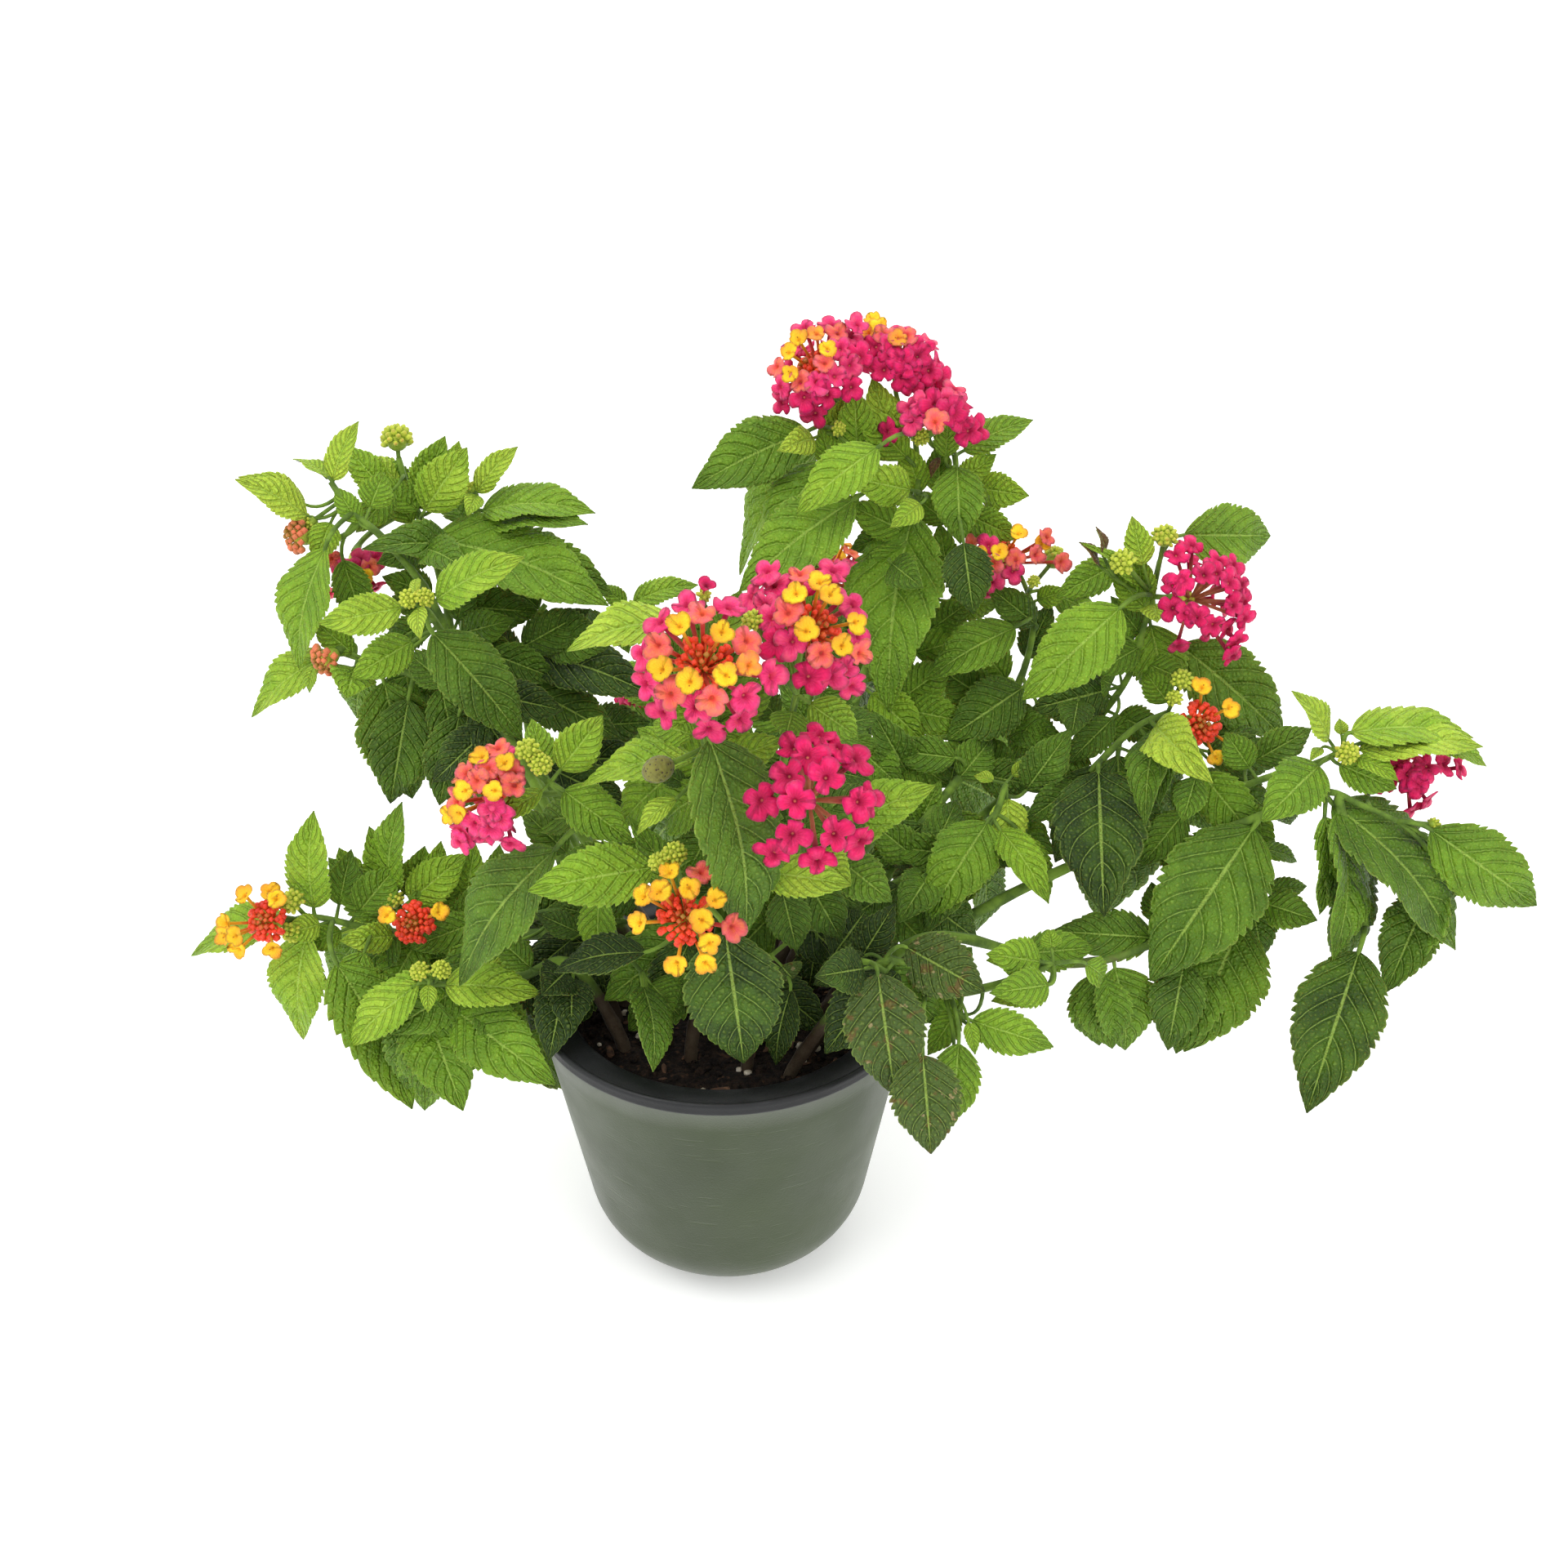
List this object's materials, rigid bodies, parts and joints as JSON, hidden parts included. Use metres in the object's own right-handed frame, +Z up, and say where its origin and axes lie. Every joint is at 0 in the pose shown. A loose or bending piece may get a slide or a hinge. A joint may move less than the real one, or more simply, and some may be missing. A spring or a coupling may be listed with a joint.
{
  "type": "potted lantana plant",
  "caption": "Bushy flowering lantana with toothed leaves and domed heads of small pink, coral and yellow florets, rooted in potting soil in a plain tapered nursery pot.",
  "frame": {"origin": "middle of the pot's underside", "axes": "+Z up along the pot's axis, -Y towards the plant's front, +X to the right seen from the front, along the plant's longest spread"},
  "size_m": [0.5384, 0.296, 0.3582],
  "materials": {
    "pot": "matt grey-green outside, black at the lip and inside",
    "soil": "loose dark potting mix with pale grains",
    "leaf": "quilted satin leaf, green stems that turn woody at the foot",
    "pink_petal": "soft matt petal",
    "yellow_petal": "soft matt petal",
    "red_bud": "matt closed bud"
  },
  "bodies": {
    "root": {"pot": "pot", "soil": "soil", "upper_left_tip_stem": "leaf", "upper_left_top_stem": "leaf", "upper_left_front_stem": "leaf", "upper_left_low_stem": "leaf", "left_back_stem": "leaf", "left_middle_stem": "leaf", "low_left_tip_stem": "leaf", "low_left_mid_stem": "leaf", "low_left_front_stem": "leaf", "front_left_stem": "leaf", "front_right_stem": "leaf", "front_pink_stem": "leaf", "front_low_stem": "leaf", "front_soil_stem": "leaf", "top_left_stem": "leaf", "top_middle_stem": "leaf", "top_right_stem": "leaf", "right_mixed_stem": "leaf", "right_pink_stem": "leaf", "right_yellow_stem": "leaf", "right_small_stem": "leaf", "far_right_stem": "leaf", "right_low_stem": "leaf", "low_right_stem": "leaf", "back_stem": "leaf", "back_left_stem": "leaf", "back_right_stem": "leaf", "front_left_head_outer": "pink_petal", "front_left_head_inner": "yellow_petal", "front_right_head_outer": "pink_petal", "front_right_head_inner": "yellow_petal", "top_left_head_outer": "pink_petal", "top_left_head_inner": "yellow_petal", "back_head_outer": "pink_petal", "back_head_inner": "yellow_petal", "left_head_outer": "pink_petal", "left_head_inner": "yellow_petal", "right_mixed_head_outer": "pink_petal", "right_mixed_head_inner": "yellow_petal", "upper_left_head_outer": "pink_petal", "upper_left_head_inner": "yellow_petal", "front_pink_head": "pink_petal", "right_pink_head": "pink_petal", "back_left_head": "pink_petal", "top_middle_head": "pink_petal", "top_right_head": "pink_petal", "far_right_head": "pink_petal", "front_low_head_outer": "yellow_petal", "front_low_head_inner": "red_bud", "low_left_head_outer": "yellow_petal", "low_left_head_inner": "red_bud", "low_middle_head_outer": "yellow_petal", "low_middle_head_inner": "red_bud", "right_yellow_head_outer": "yellow_petal", "right_yellow_head_inner": "red_bud", "upper_left_small_head": "red_bud", "left_small_head": "red_bud"}
  },
  "joints": []
}
